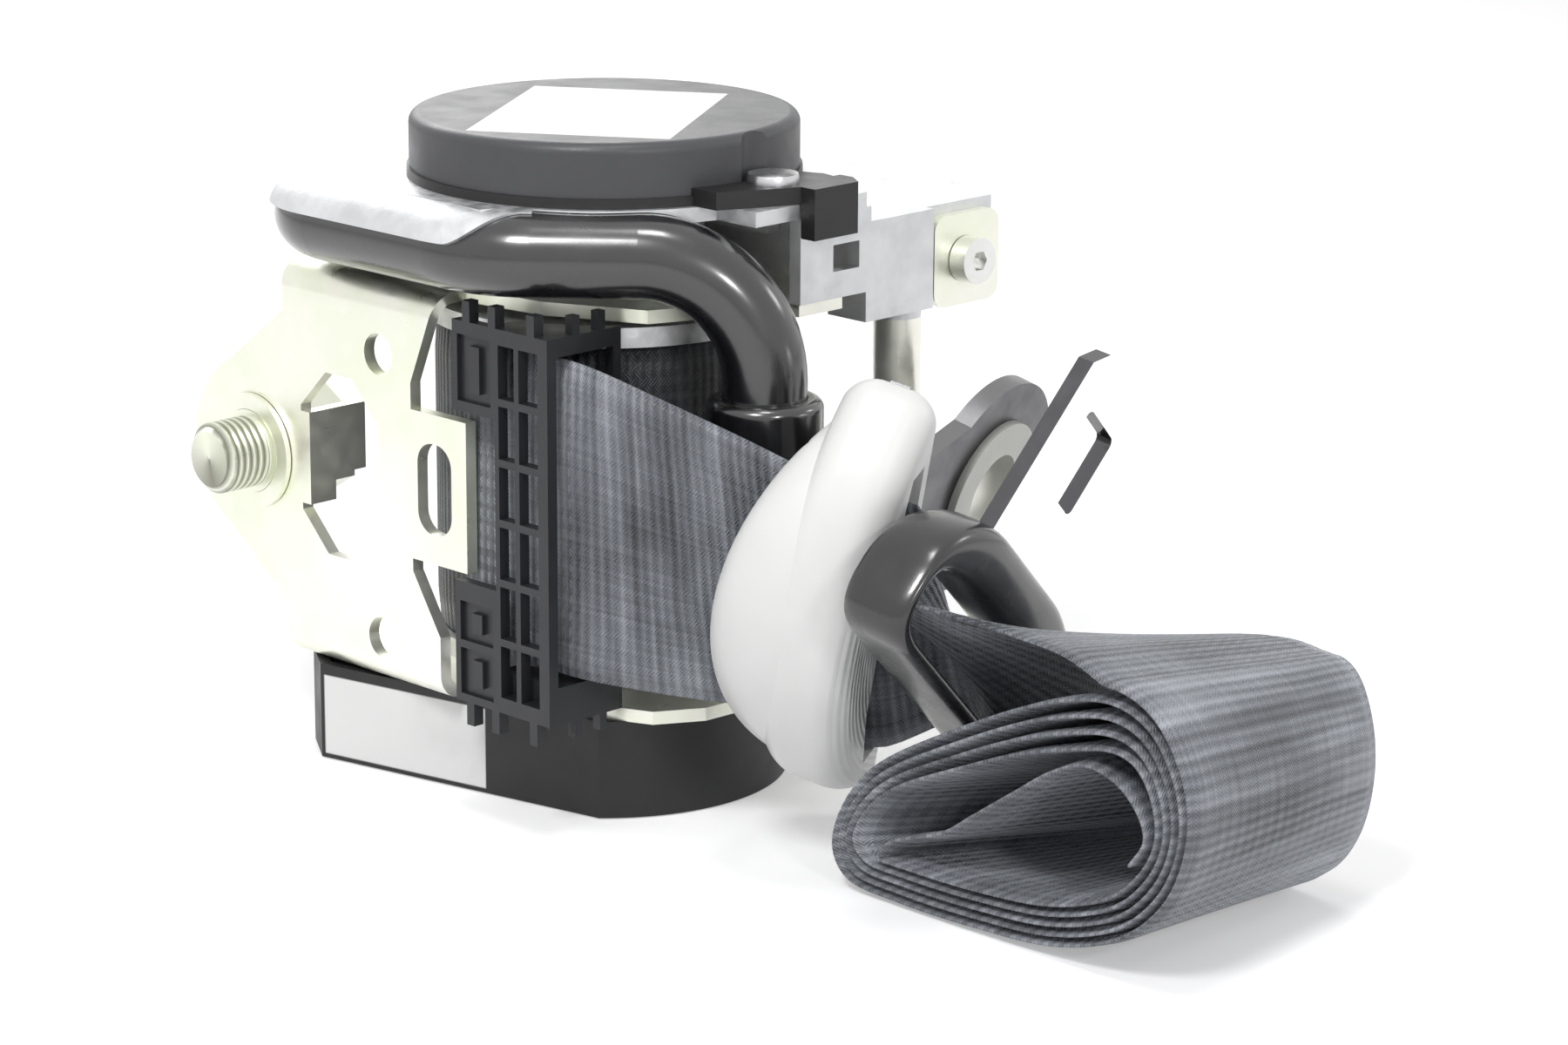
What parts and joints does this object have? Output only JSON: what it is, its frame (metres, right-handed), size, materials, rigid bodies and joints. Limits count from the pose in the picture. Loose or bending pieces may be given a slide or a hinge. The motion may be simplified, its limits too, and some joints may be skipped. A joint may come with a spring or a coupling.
{
  "type": "seat belt",
  "caption": "Front seat belt: steel-framed retractor with tube pretensioner, plastic webbing guide, pillar loop, latch tongue and a loose roll of webbing.",
  "frame": {"origin": "on the spool's axis, in the plane of the mechanism cover's lower face, on which the retractor stands", "axes": "+Z along the spool's axis towards the spring cap; the frame's back plate and the anchor bolt face -X; the webbing leaves the guide towards -Y"},
  "size_m": [0.093, 0.1917, 0.102],
  "materials": {
    "black_cover": "moulded, satin",
    "grey_cap": "moulded, fine texture",
    "zinc_screw": "zinc plated",
    "yellow_zinc": "yellow passivated zinc",
    "pale_bush": "natural acetal",
    "cast_alloy": "as cast",
    "turned_steel": "turned",
    "grey_webbing": "woven polyester with fine cross ribs",
    "black_tube": "gloss black coating",
    "dark_steel": "dark phosphate",
    "white_plastic": "moulded, satin with fine ridges",
    "bright_chrome": "plated",
    "black_grip": "glossy moulded"
  },
  "bodies": {
    "retractor": {"mechanism_cover": "black_cover", "cover_screws": "zinc_screw", "frame": "yellow_zinc", "lower_bush": "pale_bush", "upper_bush": "pale_bush", "pawl_pin": "turned_steel", "pawl_spring": "turned_steel", "sensor_housing": "pale_bush", "tie_rod": "yellow_zinc", "pretensioner_tube": "black_tube", "drive_balls": "turned_steel", "generator_holder": "black_tube", "gas_generator": "turned_steel", "pretensioner_housing": "cast_alloy", "housing_screws": "zinc_screw", "end_bracket": "zinc_screw", "socket_screw": "zinc_screw", "spring_base": "black_cover", "cover_rivet": "turned_steel", "spring_cover": "grey_cap", "power_spring": "turned_steel", "webbing_guide": "grey_cap", "webbing_run": "grey_webbing", "webbing_roll": "grey_webbing"},
    "spool": {"spool": "cast_alloy", "torsion_bar": "turned_steel", "wound_webbing": "grey_webbing", "locking_wheel": "turned_steel", "inertia_disc": "pale_bush", "drive_pinion": "turned_steel", "spring_arbor": "pale_bush"},
    "pawl": {"lock_pawl": "turned_steel"},
    "ball": {"sensor_ball": "turned_steel"},
    "lever": {"sensor_lever": "black_cover"},
    "bolt": {"mounting_bolt": "zinc_screw", "bolt_retainer": "grey_cap"},
    "loop": {"loop_plate": "dark_steel", "loop_cover": "white_plastic", "loop_bush": "pale_bush"},
    "tongue": {"tongue_plate": "bright_chrome", "tongue_grip": "black_grip"}
  },
  "joints": [
    {"name": "spool_turn", "type": "hinge", "parent": "retractor", "child": "spool", "pos_m": [0, 0, 0.0475], "axis": [0, 0, 1], "continuous": true},
    {"name": "pawl_swing", "type": "hinge", "parent": "retractor", "child": "pawl", "pos_m": [0.02, 0.019, 0.011], "axis": [0, 0, 1], "range_deg": [0, 10], "stiffness_Nm_per_rad": 0.002},
    {"name": "ball_shift", "type": "slide", "parent": "retractor", "child": "ball", "axis": [0, -1, 0], "range_m": [0, 0.0012]},
    {"name": "lever_tilt", "type": "hinge", "parent": "retractor", "child": "lever", "pos_m": [0.01, 0.0256, 0.006], "axis": [0, 0, 1], "range_deg": [0, 9.1]},
    {"name": "bolt_turn", "type": "hinge", "parent": "retractor", "child": "bolt", "pos_m": [-0.03, 0.0475, 0.04625], "axis": [1, 0, 0], "continuous": true},
    {"name": "loop_slide", "type": "slide", "parent": "retractor", "child": "loop", "axis": [0.3979, -0.8823, -0.2513], "range_m": [-0.0015, 0]},
    {"name": "tongue_slide", "type": "slide", "parent": "retractor", "child": "tongue", "axis": [0.1178, -0.9761, -0.1826], "range_m": [-0.0006, 0]}
  ],
  "couplings": [
    {"joint": "lever_tilt", "follows": "ball_shift", "rad_per_m": 132}
  ]
}
